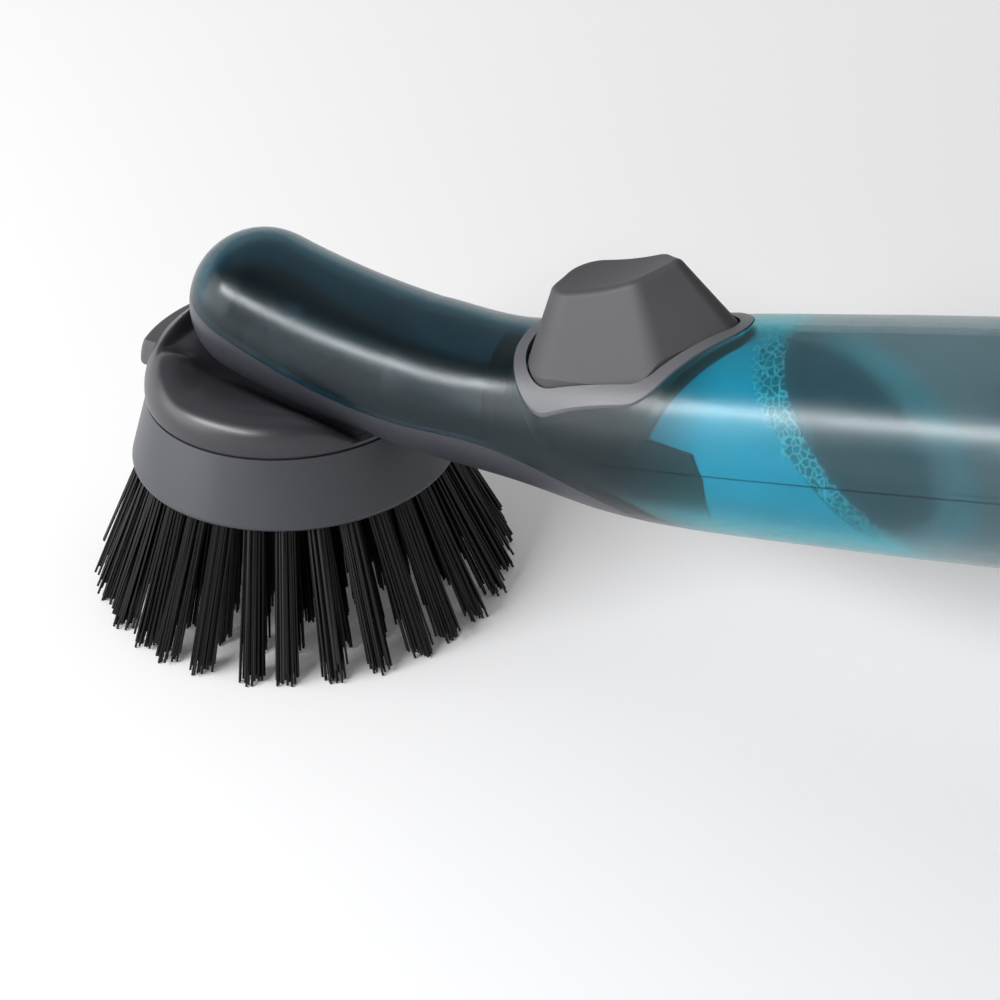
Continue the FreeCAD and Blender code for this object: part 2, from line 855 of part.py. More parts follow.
dish_drop = math.sqrt(dish_radius ** 2 - dish_rim_radius ** 2)
dish_centre = Vector(0, 0, dome_base_z + dome_lip + dish_rim_height + dish_drop)


def dished(base):
    """The dome behind its standing front: the same rim, turned over by a small round into a dish."""
    rim_centre = Vector(dome_radius - dome_rim_round, 0, base)
    to_rim = dome_rim_round - rim_round
    to_dish = dish_radius + rim_round
    span = dish_centre - rim_centre
    along_span = (to_rim ** 2 - to_dish ** 2 + span.Length ** 2) / (span.Length * 2)
    off_span = math.sqrt(to_rim ** 2 - along_span ** 2)
    span.normalize()
    round_centre = rim_centre + span * along_span + Vector(span.z, 0, -span.x) * off_span
    start = rim_centre + Vector(dome_rim_round, 0, 0)
    rim_end = rim_centre + (round_centre - rim_centre) * (dome_rim_round / to_rim)
    dish_start = dish_centre + (round_centre - dish_centre) * (dish_radius / to_dish)
    bottom = dish_centre - up * dish_radius
    outline = [
        arc_about(rim_centre, start, rim_end),
        arc_about(round_centre, rim_end, dish_start),
        arc_about(dish_centre, dish_start, bottom),
    ]
    face = Part.Face(Part.Wire(outline + polyline([bottom, Vector(0, 0, base), start])))
    return face.revolve(Vector(), up, 360)


def front_post(grow):
    """A tall round post whose front side is the wall of the dome's standing front."""
    middle = saddle_front_radius - saddle_front
    low = Vector(middle, 0, skirt_edge_z)
    high = Vector(middle, 0, dome_base_z + dome_height * 2)
    return cylinder(saddle_front_radius + grow, low, high)


def standing_front(base):
    """The part of the dome left standing in front of the arm's nose, its upper edge rounded."""
    front = domed(0, base).cut(front_post(0))
    return rounded_beside(front, Part.Cylinder, rim_round, base + overrun)


def arm_trough(grow):
    """The round trough that the arm lies in, with a flat floor under the arm's flat."""
    start, slope = arm_frame(0)
    bend_centre = start + square_to(slope) * neck_bend_radius
    disc = Part.Face(arm_section(0, neck_radius + saddle_gap + grow))
    trough = disc.revolve(bend_centre, -across, math.degrees(saddle_length / neck_bend_radius))
    return trough.cut(under_flat(-seat_gap - grow))


def arm_seat(grow):
    """The block that carries the arm's flat, from the standing front to the foot of the dish."""
    block = half_box(seat_half_width - grow, -seat_front, seat_rear, skirt_top_z, dome_base_z + dome_height)
    return block.common(under_flat(-seat_gap - grow))


def saddle_room(grow):
    """All that is kept free above the dome's dish, seat and trough, grow past their faces."""
    dish = Part.makeSphere(dish_radius + grow, dish_centre, across).common(front_post(grow))
    return dish.cut(arm_seat(grow)).fuse(arm_trough(grow))


def skirt_radius_at(height):
    return skirt_radius + (skirt_top_radius - skirt_radius) * height / skirt_height


plug_radius = skirt_top_radius - skirt_wall - plug_clearance
tab_bottom_z = dome_base_z + tab_bottom
tab_top_z = dome_base_z + tab_top


def tab_window():
    """The opening in the dome's front: full height for the pad, and deeper below for the slide's web."""
    clear = tab_window_clearance
    bottom = tab_bottom_z - clear
    pad_room = half_box(tab_half_width + clear, -reach, clear - slide_front, bottom, tab_top_z + clear)
    web_room_top = slide_top_z + web_height + clear
    web_room = half_box(tab_half_width + clear, -reach, web_thickness - slide_front, bottom, web_room_top)
    return pad_room.fuse(web_room)


def make_head_dome():
    lip = revolved([
        Vector(0, 0, dome_base_z),
        Vector(dome_radius - dome_lip, 0, dome_base_z),
        Vector(dome_radius, 0, dome_base_z + dome_lip),
        Vector(0, 0, dome_base_z + dome_lip),
    ])
    base = dome_base_z + dome_lip
    outer = dished(base).fuse([standing_front(base), arm_seat(0), lip]).cut(arm_trough(0))
    plug = cylinder(plug_radius, Vector(0, 0, plate_top_z + plate_clearance), Vector(0, 0, dome_base_z))
    hollow = domed(-dome_wall, dome_base_z)
    below = cylinder(plug_radius - plug_wall, Vector(0, 0, skirt_edge_z), Vector(0, 0, dome_base_z))
    cavity = hollow.fuse(below).cut(saddle_room(saddle_wall))
    column_top = dome_base_z + dome_height
    column = cylinder(column_radius, Vector(0, 0, column_bottom_z), Vector(0, 0, column_top))
    cavity = cavity.cut(column)
    socket = cylinder(cup_bore, Vector(0, 0, skirt_edge_z), Vector(0, 0, column_top))
    return outer.fuse(plug).cut([cavity, socket, tab_window()])


def make_brush_skirt():
    inner_edge = skirt_radius - skirt_wall
    inner_top = skirt_top_radius - skirt_wall
    ring = revolved([
        Vector(inner_edge, 0, skirt_edge_z),
        Vector(skirt_radius, 0, skirt_edge_z),
        Vector(skirt_top_radius, 0, skirt_top_z),
        Vector(inner_top, 0, skirt_top_z),
    ])
    edges = []
    for edge in ring.Edges:
        box = edge.BoundBox
        if box.ZMax < skirt_edge_z + skirt_edge_round and box.XMax > skirt_radius - skirt_edge_round:
            edges.append(edge)
    return ring.makeFillet(skirt_edge_round, [edge for edge in edges if edge.Closed])


tuft_rings = {
    "outer_tufts": (outer_ring_count, outer_ring_radius, outer_ring_tip_radius),
    "middle_tufts": (middle_ring_count, middle_ring_radius, middle_ring_tip_radius),
    "inner_tufts": (inner_ring_count, inner_ring_radius, inner_ring_tip_radius),
    "core_tufts": (core_ring_count, core_ring_radius, core_ring_tip_radius),
}


def tuft(ring_radius, tip_radius, turn, grow):
    """One splayed, slightly fanned bundle from its hole in the plate to below the floor."""
    root = Vector(ring_radius, 0, plate_bottom_z)
    tip = Vector(tip_radius, 0, 0)
    way = (tip - root).normalize()
    seat = root - way * tuft_hole_depth
    length = (tip - seat).Length
    fan = (tuft_tip_radius - tuft_root_radius) / length
    end_radius = tuft_root_radius + fan * (length + overrun)
    bundle = Part.makeCone(tuft_root_radius + grow, end_radius + grow, length + overrun, seat, way)
    bundle.rotate(Vector(), up, turn)
    return bundle


def ring_of_tufts(name, grow):
    count, ring_radius, tip_radius = tuft_rings[name]
    return [tuft(ring_radius, tip_radius, 360 * index / count, grow) for index in range(count)]


def make_tufts(name):
    room = half_box(reach, -reach, reach, 0, reach)
    return Part.Compound([bundle.common(room) for bundle in ring_of_tufts(name, 0)])


def make_tuft_plate():
    bottom_radius = skirt_radius_at(plate_recess) - skirt_wall - plate_clearance
    top_radius = skirt_radius_at(plate_recess + plate_thickness) - skirt_wall - plate_clearance
    plate = Part.makeCone(bottom_radius, top_radius, plate_thickness, Vector(0, 0, plate_bottom_z))
    cup = cylinder(cup_radius, Vector(0, 0, plate_bottom_z), Vector(0, 0, cup_top_z))
    cup_bore_hole = cylinder(cup_bore, Vector(0, 0, cup_floor_z), Vector(0, 0, cup_top_z))
    nozzle_radius = nozzle_body_radius + nozzle_clearance
    nozzle_hole = cylinder(nozzle_radius, Vector(0, 0, skirt_edge_z), Vector(0, 0, cup_floor_z))
    holes = [cup_bore_hole, nozzle_hole]
    for name in tuft_rings:
        holes += ring_of_tufts(name, tuft_hole_clearance)
    return plate.fuse(cup).cut(holes)


def make_soap_nozzle():
    flange_radius = cup_bore - nozzle_clearance
    flange_z = cup_floor_z + nozzle_clearance
    body_bottom_z = plate_bottom_z - nozzle_drop
    bill_z = body_bottom_z - nozzle_bill_length
    outline = revolved([
        Vector(0, 0, bill_z),
        Vector(nozzle_bill_tip_radius, 0, bill_z),
        Vector(nozzle_body_radius, 0, body_bottom_z),
        Vector(nozzle_body_radius, 0, flange_z),
        Vector(flange_radius, 0, flange_z),
        Vector(flange_radius, 0, nozzle_top_z),
        Vector(0, 0, nozzle_top_z),
    ])
    bore = cylinder(nozzle_bore_radius, Vector(0, 0, body_bottom_z), Vector(0, 0, nozzle_top_z))
    slit_half = nozzle_clearance
    slit = half_box(nozzle_bill_tip_radius / 2, -slit_half, slit_half, bill_z, body_bottom_z)
    return outline.cut([bore, slit])


# Release tab
def make_release_tab():
    skin = domed(tab_stand, dome_base_z + dome_lip)
    core = domed(tab_stand - tab_thickness, dome_base_z + dome_lip)
    pad = skin.cut(core).common(half_box(tab_half_width, -reach, 0, tab_bottom_z, tab_top_z))
    curved = [face for face in pad.Faces if type(face.Surface) is Part.Toroid]
    curved.sort(key=lambda face: face.Surface.MinorRadius)
    pad = pad.makeFillet(tab_round, curved[-1].Edges)
    web_front = -slide_front
    web_rear = web_front + web_thickness
    stem_top = tab_bottom_z + web_thickness
    stem = half_box(web_half_width, -dome_radius, web_rear, tab_bottom_z, stem_top)
    web_top = slide_top_z + web_height
    web = half_box(web_half_width, web_front, web_rear, slide_bottom_z, web_top)
    slide_rear = spigot_radius + slide_hole_clearance + web_thickness
    slide = half_box(slide_half_width, web_front, slide_rear, slide_bottom_z, slide_top_z)
    hole_radius = spigot_radius + slide_hole_clearance
    holes = []
    for x in (0, -tab_travel):
        holes.append(cylinder(hole_radius, Vector(x, 0, slide_bottom_z), Vector(x, 0, slide_top_z)))
    holes.append(half_box(hole_radius, -tab_travel, 0, slide_bottom_z, slide_top_z))
    return pad.fuse([stem.common(skin), web, slide.cut(holes)])


def make_tab_spring():
    start = -slide_front + web_thickness + spring_end_gap
    length = -column_radius - spring_end_gap - start
    spring = coil(tab_spring_radius, tab_spring_wire, tab_spring_turns, length, "tab_spring")
    spring.rotate(Vector(), across, 90)
    spring.translate(Vector(start, 0, slide_top_z + tab_spring_lift))
    return spring


# Filler cap and soap
mouth_point, mouth_slope = arm_frame(mouth_place)
mouth_placement = FreeCAD.Placement(mouth_point, FreeCAD.Rotation(across, 90 - math.degrees(mouth_slope)))


def on_mouth(shape):
    """Move a shape made along +z at the origin to the handle's mouth."""
    placed = shape.copy()
    placed.Placement = mouth_placement.multiply(placed.Placement)
    return placed


def make_filler_cap():
    plug = tail_radius - arm_wall - cap_plug_fit
    collar_end = cap_gap + cap_collar
    face_z = collar_end + cap_dome
    cap = revolved([
        Vector(plug - cap_wall, 0, -cap_plug_length),
        Vector(plug, 0, -cap_plug_length),
        Vector(plug, 0, cap_gap),
        Vector(tail_radius, 0, cap_gap),
        Vector(tail_radius, 0, collar_end),
        Vector(cap_face_radius, 0, face_z),
        Vector(0, 0, face_z),
        Vector(0, 0, collar_end),
        Vector(plug - cap_wall, 0, collar_end),
    ])
    shoulder = []
    for edge in cap.Edges:
        box = edge.BoundBox
        if edge.Closed and abs(box.ZMin - collar_end) < cap_gap and box.XMax > plug:
            shoulder.append(edge)
    cap = cap.makeFillet(cap_dome / 2, shoulder)
    half_groove = seal_wire + seal_groove_clearance
    low = Vector(0, 0, -cap_seal_place - half_groove)
    high = Vector(0, 0, -cap_seal_place + half_groove)
    floor = plug + cap_plug_fit - cap_seal_fit - seal_wire * 2 - seal_groove_clearance
    groove = cylinder(tail_radius, low, high).cut(cylinder(floor, low, high))
    return on_mouth(cap.cut(groove))


def make_cap_seal():
    outer = tail_radius - arm_wall - cap_seal_fit
    return on_mouth(ring_seal(seal_wire, outer, Vector(0, 0, -cap_seal_place), up))


def make_soap_fill():
    body = arm_tube(-arm_wall - soap_gap).cut(under_flat(arm_wall + soap_gap))
    point, slope = arm_frame(soap_face_place)
    lean = Vector(math.cos(math.radians(soap_face_angle)), 0, -math.sin(math.radians(soap_face_angle)))
    high = point - lean * grip_radius * 2
    low = point + lean * grip_radius * 2
    corners = [high, low, Vector(low.x, 0, -reach), Vector(-reach, 0, -reach), Vector(-reach, 0, high.z)]
    body = body.common(side_slab(polyline(corners + [high])))
    tub_floor = well_floor - well_floor_thickness - soap_gap
    tub = on_pump(button_prism(well_grow + well_wall + soap_gap, tub_floor, button_peak))
    return body.cut([pump_slab(block_outline(-reach, block_rear_top + soap_gap, soap_gap)), tub])


makers = {
    "handle_shell": make_handle_shell,
    "neck_plate": make_neck_plate,
    "button_bezel": make_button_bezel,
    "bezel_gasket": make_bezel_gasket,
    "thumb_button": make_thumb_button,
    "button_stem": make_button_stem,
    "pump_block": make_pump_block,
    "pump_piston": make_pump_piston,
    "piston_seal": make_piston_seal,
    "return_spring": make_return_spring,
    "inlet_ball": make_inlet_ball,
    "ball_keeper": make_ball_keeper,
    "outlet_valve": make_outlet_valve,
    "outlet_fitting": make_outlet_fitting,
    "bulkhead_seal": make_bulkhead_seal,
    "feed_hose": make_feed_hose,
    "spigot": make_spigot,
    "spigot_seal": make_spigot_seal,
    "head_dome": make_head_dome,
    "brush_skirt": make_brush_skirt,
    "tuft_plate": make_tuft_plate,
    "soap_nozzle": make_soap_nozzle,
    "release_tab": make_release_tab,
    "tab_spring": make_tab_spring,
    "filler_cap": make_filler_cap,
    "cap_seal": make_cap_seal,
    "soap_fill": make_soap_fill,
}

os.makedirs("parts", exist_ok=True)
shapes = {name: make() for name, make in makers.items()}
for name in tuft_rings:
    shapes[name] = make_tufts(name)

# The frame's origin: bottom centre of the whole object's box
front_x = shapes["outer_tufts"].optimalBoundingBox(False).XMin
rear_x = shapes["filler_cap"].optimalBoundingBox(False).XMax
centring = Vector(-(front_x + rear_x) / 2, 0, 0)
for name, shape in shapes.items():
    shape.translate(centring)
    shape.exportStep("parts/" + name + ".step")
    state = "valid" if shape.isValid() else "INVALID"
    print(name, len(shape.Solids), "solids", round(shape.Volume, 1), "mm3", state)
print("centring", round(centring.x, 4))
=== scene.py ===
import math
import random

import bmesh
import bpy
from mathutils import Matrix, Vector


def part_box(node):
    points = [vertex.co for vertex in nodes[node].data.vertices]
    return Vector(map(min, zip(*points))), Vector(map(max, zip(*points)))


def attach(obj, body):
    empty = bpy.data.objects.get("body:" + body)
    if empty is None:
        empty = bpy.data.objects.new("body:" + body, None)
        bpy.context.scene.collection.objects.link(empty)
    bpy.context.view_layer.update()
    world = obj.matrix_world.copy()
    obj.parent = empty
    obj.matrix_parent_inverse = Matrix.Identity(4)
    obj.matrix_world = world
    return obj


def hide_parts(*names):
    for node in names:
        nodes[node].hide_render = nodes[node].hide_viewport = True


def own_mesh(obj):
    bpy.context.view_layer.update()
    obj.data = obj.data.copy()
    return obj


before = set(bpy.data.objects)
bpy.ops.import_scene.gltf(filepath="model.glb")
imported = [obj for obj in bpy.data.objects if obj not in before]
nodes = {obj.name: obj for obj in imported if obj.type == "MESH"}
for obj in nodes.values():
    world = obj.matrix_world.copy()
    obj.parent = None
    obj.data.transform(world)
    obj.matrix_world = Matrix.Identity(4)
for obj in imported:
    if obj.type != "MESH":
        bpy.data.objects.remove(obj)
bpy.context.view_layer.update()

# Skirt of the brush head, with the plate under the neck and the filler cap.
# All three are injection-moulded polypropylene in one dark grey, with a fine spark-eroded satin skin.
# The skirt holds the tuft plate, the neck plate is welded to the shell, and the cap is a push fit.


def moulded_grain_group():
    """Fine tooth of a spark-eroded mould, with slow drifts in gloss and tone."""
    tooth_depth = 0.00006
    drift_scale = 90.0
    tone_drift = 0.12
    gloss_drift = 0.05
    group = bpy.data.node_groups.new("moulded_grain", "ShaderNodeTree")
    face = group.interface
    face.new_socket("Grain Scale", in_out="INPUT", socket_type="NodeSocketFloat")
    face.new_socket("Grain Height", in_out="INPUT", socket_type="NodeSocketFloat")
    face.new_socket("Tone", in_out="INPUT", socket_type="NodeSocketColor")
    face.new_socket("Gloss", in_out="INPUT", socket_type="NodeSocketFloat")
    face.new_socket("Colour", in_out="OUTPUT", socket_type="NodeSocketColor")
    face.new_socket("Roughness", in_out="OUTPUT", socket_type="NodeSocketFloat")
    face.new_socket("Normal", in_out="OUTPUT", socket_type="NodeSocketVector")
    tree = group.nodes
    link = group.links.new
    entry = tree.new("NodeGroupInput")
    leave = tree.new("NodeGroupOutput")
    place = tree.new("ShaderNodeTexCoord")
    tooth = tree.new("ShaderNodeTexNoise")
    tooth.inputs["Detail"].default_value = 2.0
    drift = tree.new("ShaderNodeTexNoise")
    drift.inputs["Scale"].default_value = drift_scale
    drift.inputs["Detail"].default_value = 3.0
    bump = tree.new("ShaderNodeBump")
    bump.inputs["Distance"].default_value = tooth_depth
    shade = tree.new("ShaderNodeMapRange")
    shade.inputs["To Min"].default_value = 1.0 - tone_drift
    shade.inputs["To Max"].default_value = 1.0 + tone_drift
    tint = tree.new("ShaderNodeVectorMath")
    tint.operation = "SCALE"
    gloss = tree.new("ShaderNodeMapRange")
    gloss.inputs["To Min"].default_value = -gloss_drift
    gloss.inputs["To Max"].default_value = gloss_drift
    add = tree.new("ShaderNodeMath")
    link(place.outputs["Object"], tooth.inputs["Vector"])
    link(place.outputs["Object"], drift.inputs["Vector"])
    link(entry.outputs["Grain Scale"], tooth.inputs["Scale"])
    link(tooth.outputs["Fac"], bump.inputs["Height"])
    link(entry.outputs["Grain Height"], bump.inputs["Strength"])
    link(drift.outputs["Fac"], shade.inputs["Value"])
    link(entry.outputs["Tone"], tint.inputs[0])
    link(shade.outputs["Result"], tint.inputs["Scale"])
    link(drift.outputs["Fac"], gloss.inputs["Value"])
    link(gloss.outputs["Result"], add.inputs[0])
    link(entry.outputs["Gloss"], add.inputs[1])
    link(tint.outputs["Vector"], leave.inputs["Colour"])
    link(add.outputs["Value"], leave.inputs["Roughness"])
    link(bump.outputs["Normal"], leave.inputs["Normal"])
    return group


moulded_grain = moulded_grain_group()
plastic_ior = 1.49


def moulded(name, tone, gloss, grain, tooth, shine=0.5):
    """A moulded plastic or rubber finish on the shared grain."""
    finish = bpy.data.materials.new(name)
    finish.use_nodes = True
    tree = finish.node_tree
    shader = tree.nodes["Principled BSDF"]
    shader.inputs["IOR"].default_value = plastic_ior
    shader.inputs["Specular IOR Level"].default_value = shine
    skin = tree.nodes.new("ShaderNodeGroup")
    skin.node_tree = moulded_grain
    skin.inputs["Tone"].default_value = (*tone, 1.0)
    skin.inputs["Gloss"].default_value = gloss
    skin.inputs["Grain Scale"].default_value = grain
    skin.inputs["Grain Height"].default_value = tooth
    tree.links.new(skin.outputs["Colour"], shader.inputs["Base Color"])
    tree.links.new(skin.outputs["Roughness"], shader.inputs["Roughness"])
    tree.links.new(skin.outputs["Normal"], shader.inputs["Normal"])
    return finish


def dress(finish, *names):
    """Give CAD nodes a finish in place of their plain one."""
    for name in names:
        nodes[name].data.materials.clear()
        nodes[name].data.materials.append(finish)


satin_grey = moulded("satin_grey", tone=(0.031, 0.033, 0.041), gloss=0.36, grain=5200.0, tooth=0.25)
dress(satin_grey, "brush_skirt", "neck_plate", "filler_cap")

# Dome of the head: a smooth moulded cover, pressed into the skirt, whose rim stands high before the arm.
# Behind that front it sweeps down into a shallow saddle, and the arm lies over it in a round trough.
# A window in its front lets the release tab through, and a hole in the middle lets the spigot through.
skirt_low, skirt_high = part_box("brush_skirt")
head_x = (skirt_low.x + skirt_high.x) / 2
dome_base = 0.0393
dome_lip = ((0.0253, -0.0010), (0.0257, -0.0004))
dome_rim_x = 0.0147
dome_rim_round = 0.011
dome_rim_steps = 48
dome_top_low = 0.0202
dome_top_round = 0.0351
dome_top_steps = 40
dome_hole_turn = math.radians(78.5)
dome_steps = 240
dome_wall = 0.0018
dome_crease = math.radians(45.0)
window_half = math.radians(22.6)
window_low = 0.0400
window_high = 0.0457
saddle_blend = 0.0055
saddle_low = 0.0440
saddle_bowl = 2.78
saddle_front = -0.006
saddle_front_reach = 0.0075
saddle_rise = 0.004
trough_nose = -0.0172
trough_nose_reach = 0.0016
trough_depth = 0.0144
trough_brim = 0.01025
trough_width = 0.0281
trough_blend = 0.0015
trough_edge = 0.002
arm_turn_x = -0.004
arm_height = 0.0535
arm_fall = 0.2736
arm_lift = 3.6


def soft_less(first, second, width):
    """The lesser of two heights, rounded over where they cross."""
    overlap = max(width - abs(first - second), 0.0) / width
    return min(first, second) - overlap * overlap * width / 4


def saddle_height(x, y):
    """Height of the saddle's face over a place in the head's own frame."""
    run = x - arm_turn_x
    arm_line = arm_height - arm_fall * run + arm_lift * max(run, 0.0) ** 2
    front_rise = max(saddle_front - x, 0.0) / saddle_front_reach
    open_face = saddle_low + saddle_bowl * (x * x + y * y) + saddle_rise * front_rise ** 2
    nose_rise = max(trough_nose - x, 0.0) / trough_nose_reach
    floor_drop = trough_depth - arm_line - y * y / trough_width
    trough = -soft_less(floor_drop, trough_brim - arm_line, trough_blend)
    return soft_less(open_face, trough + saddle_rise * nose_rise ** 2, trough_edge)


def fitted(name, mesh, finish, body):
    """A piece made from its mesh, with its finish, riding on a body."""
    data = bpy.data.meshes.new(name)
    mesh.to_mesh(data)
    mesh.free()
    data.materials.append(finish)
    piece = bpy.data.objects.new(name, data)
    bpy.context.scene.collection.objects.link(piece)
    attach(piece, body)
    return piece


dome_profile = [(radius, dome_base + drop) for radius, drop in dome_lip]
rim_turn = math.atan2(dome_base - dome_top_low, dome_rim_x)
for step in range(dome_rim_steps + 1):
    turn = rim_turn * step / dome_rim_steps
    rim_out = dome_rim_x + dome_rim_round * math.cos(turn)
    dome_profile.append((rim_out, dome_base + dome_rim_round * math.sin(turn)))
for step in range(1, dome_top_steps + 1):
    turn = rim_turn + (dome_hole_turn - rim_turn) * step / dome_top_steps
    top_out = dome_top_round * math.cos(turn)
    dome_profile.append((top_out, dome_top_low + dome_top_round * math.sin(turn)))
dome_mesh = bmesh.new()
rib = [dome_mesh.verts.new((head_x + radius, 0.0, height)) for radius, height in dome_profile]
rib_edges = [dome_mesh.edges.new(pair) for pair in zip(rib, rib[1:])]
bmesh.ops.spin(
    dome_mesh,
    geom=rib + rib_edges,
    cent=(head_x, 0.0, 0.0),
    axis=(0.0, 0.0, 1.0),
    angle=2 * math.pi,
    steps=dome_steps,
    use_merge=True,
)
window_faces = []
for face in dome_mesh.faces:
    middle = face.calc_center_median()
    beside = abs(math.atan2(middle.y, head_x - middle.x))
    if beside < window_half and window_low < middle.z < window_high:
        window_faces.append(face)
bmesh.ops.delete(dome_mesh, geom=window_faces, context="FACES")
for vert in dome_mesh.verts:
    if vert.co.z > dome_base:
        saddle = saddle_height(vert.co.x - head_x, vert.co.y)
        vert.co.z = max(soft_less(vert.co.z, saddle, saddle_blend), dome_base)
bmesh.ops.recalc_face_normals(dome_mesh, faces=dome_mesh.faces[:])
bmesh.ops.solidify(dome_mesh, geom=dome_mesh.faces[:], thickness=dome_wall)
# A darker copy of the skirt's grey: painted shade from the arm over the dome.
dome_shaded_grey = moulded("dome_shaded_grey", tone=(0.021, 0.021, 0.027), gloss=0.34, grain=5200.0, tooth=0.25)
dome_cover = fitted("dome_cover", dome_mesh, dome_shaded_grey, "brush_head")
dome_cover.data.shade_smooth()
dome_cover.data.set_sharp_from_angle(angle=dome_crease)
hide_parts("head_dome")

# Tuft plate in the skirt and pump block in the arm: black mouldings, glued or pressed in place.
# The plate has a blind hole for each tuft, and a rubber duckbill nozzle for the soap in its middle.
# The seal rings, the bezel's gasket and the outlet valve are of the same black rubber.
black_plastic = moulded("black_plastic", tone=(0.010, 0.011, 0.013), gloss=0.42, grain=4000.0, tooth=0.25)
# The pump block gets a darker, almost unreflecting copy of the black: painted shade inside the arm.
pump_shade_tone = (0.003, 0.003, 0.004)
pump_shaded_black = moulded("pump_shaded_black", pump_shade_tone, gloss=0.50, grain=4000.0, tooth=0.25, shine=0.05)
black_rubber = moulded("black_rubber", tone=(0.012, 0.012, 0.012), gloss=0.62, grain=2500.0, tooth=0.35)
dress(black_plastic, "tuft_plate")
dress(pump_shaded_black, "pump_block")
dress(black_rubber, "soap_nozzle", "spigot_seal", "piston_seal", "bulkhead_seal", "cap_seal")
dress(black_rubber, "bezel_gasket", "outlet_valve")

# Bristle tufts: bundles of black nylon filament, folded over a staple and driven into the plate's holes.
# Each bundle splays outward and fans a little, and its ends are trimmed unevenly.
tuft_root_z = 0.0276
tuft_lean = 0.0010
bundle_root = 0.00165
bundle_tip = 0.00245
bundle_turn = 2.39996
turn_scatter = 0.2
fan_least = 0.82
fan_most = 1.04
filament_radius = 0.00026
filament_taper = 0.85
filament_sides = 5
tip_spread = 0.0034
tip_lift = 0.0001
nylon_tone = (0.0022, 0.0023, 0.0028)
nylon_black = moulded("nylon_black", nylon_tone, gloss=0.40, grain=900.0, tooth=0.1, shine=0.3)
shed = random.Random(11)


def bristle_ring(name, node, tufts, root_ring, tip_ring, filaments):
    """One ring of bundles, each filament a slim tapered stick of its own."""
    mesh = bmesh.new()
    for tuft in range(tufts):
        turn = 2 * math.pi * tuft / tufts
        out = Vector((math.cos(turn), math.sin(turn), 0.0))
        side = Vector((-math.sin(turn), math.cos(turn), 0.0))
        lean = shed.uniform(-tuft_lean, tuft_lean)
        for filament in range(filaments):
            share = math.sqrt((filament + 0.5) / filaments)
            around = filament * bundle_turn + shed.uniform(-turn_scatter, turn_scatter)
            spread = out * math.cos(around) + side * math.sin(around)
            root = out * root_ring + spread * bundle_root * share
            fan = bundle_tip * share * shed.uniform(fan_least, fan_most)
            tip = out * tip_ring + spread * fan + side * lean
            root.z = tuft_root_z
            tip.z = tip_lift + tip_spread * shed.random() ** 3
            way = tip - root
            turned = way.to_track_quat("Z", "Y").to_matrix().to_4x4()
            middle = (root + tip) / 2 + Vector((head_x, 0.0, 0.0))
            bmesh.ops.create_cone(
                mesh,
                cap_ends=True,
                segments=filament_sides,
                radius1=filament_radius,
                radius2=filament_radius * filament_taper,
                depth=way.length,
                matrix=Matrix.Translation(middle) @ turned,
            )
    ring = fitted(name, mesh, nylon_black, "brush_head")
    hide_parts(node)


bristle_ring("outer_bristles", "outer_tufts", tufts=30, root_ring=0.0250, tip_ring=0.0366, filaments=36)
bristle_ring("middle_bristles", "middle_tufts", tufts=24, root_ring=0.0196, tip_ring=0.0276, filaments=32)
bristle_ring("inner_bristles", "inner_tufts", tufts=18, root_ring=0.0142, tip_ring=0.0184, filaments=28)
bristle_ring("core_bristles", "core_tufts", tufts=12, root_ring=0.0094, tip_ring=0.0106, filaments=28)

# Release tab: a grey grip pad with a soft skin, moulded in one with the latch slide behind it.
# It stands a little proud of the dome and is pressed toward the handle.
soft_grey = moulded("soft_grey", tone=(0.075, 0.076, 0.080), gloss=0.62, grain=3600.0, tooth=0.3)
dress(soft_grey, "release_tab")

# Springs, ball and keeper pin: bright stainless wire and steel, in the pump and behind the tab.
# Each spring stands between a moving piece and a fixed one, and is drawn at one length.
# The ball is loose in its cage, and the pin is pressed across it.
bright_steel = bpy.data.materials.new("bright_steel")
bright_steel.use_nodes = True
steel_tree = bright_steel.node_tree
steel_shader = steel_tree.nodes["Principled BSDF"]
steel_shader.inputs["Metallic"].default_value = 1.0
steel_shader.inputs["Roughness"].default_value = 0.25
steel_place = steel_tree.nodes.new("ShaderNodeTexCoord")
drawn_marks = steel_tree.nodes.new("ShaderNodeTexNoise")
drawn_marks.inputs["Scale"].default_value = 800.0
steel_tone = steel_tree.nodes.new("ShaderNodeValToRGB")
steel_tone.color_ramp.elements[0].color = (0.45, 0.45, 0.46, 1.0)
steel_tone.color_ramp.elements[1].color = (0.70, 0.70, 0.71, 1.0)
steel_tree.links.new(steel_place.outputs["Object"], drawn_marks.inputs["Vector"])
steel_tree.links.new(drawn_marks.outputs["Fac"], steel_tone.inputs["Fac"])
steel_tree.links.new(steel_tone.outputs["Color"], steel_shader.inputs["Base Color"])
dress(bright_steel, "inlet_ball", "ball_keeper")
weld_distance = 0.000001


def sprung(name, node, body):
    """A coil copied from its node and welded, riding on a body."""
    mesh = bmesh.new()
    mesh.from_mesh(nodes[node].data)
    bmesh.ops.remove_doubles(mesh, verts=mesh.verts[:], dist=weld_distance)
    coil = fitted(name, mesh, bright_steel, body)
    coil.data.shade_smooth()
    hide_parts(node)
    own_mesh(coil)


sprung("return_coil", "return_spring", "arm")
sprung("tab_coil", "tab_spring", "brush_head")

# Spigot, fitting, piston and stem: natural acetal mouldings inside the neck and the pump.
# The hose between them is a milky silicone tube pushed over two barbs.
natural_acetal = moulded("natural_acetal", tone=(0.55, 0.54, 0.50), gloss=0.42, grain=3000.0, tooth=0.15)
milky_silicone = moulded("milky_silicone", tone=(0.42, 0.44, 0.44), gloss=0.50, grain=2000.0, tooth=0.15)
dress(natural_acetal, "spigot", "outlet_fitting", "pump_piston", "button_stem")
dress(milky_silicone, "feed_hose")

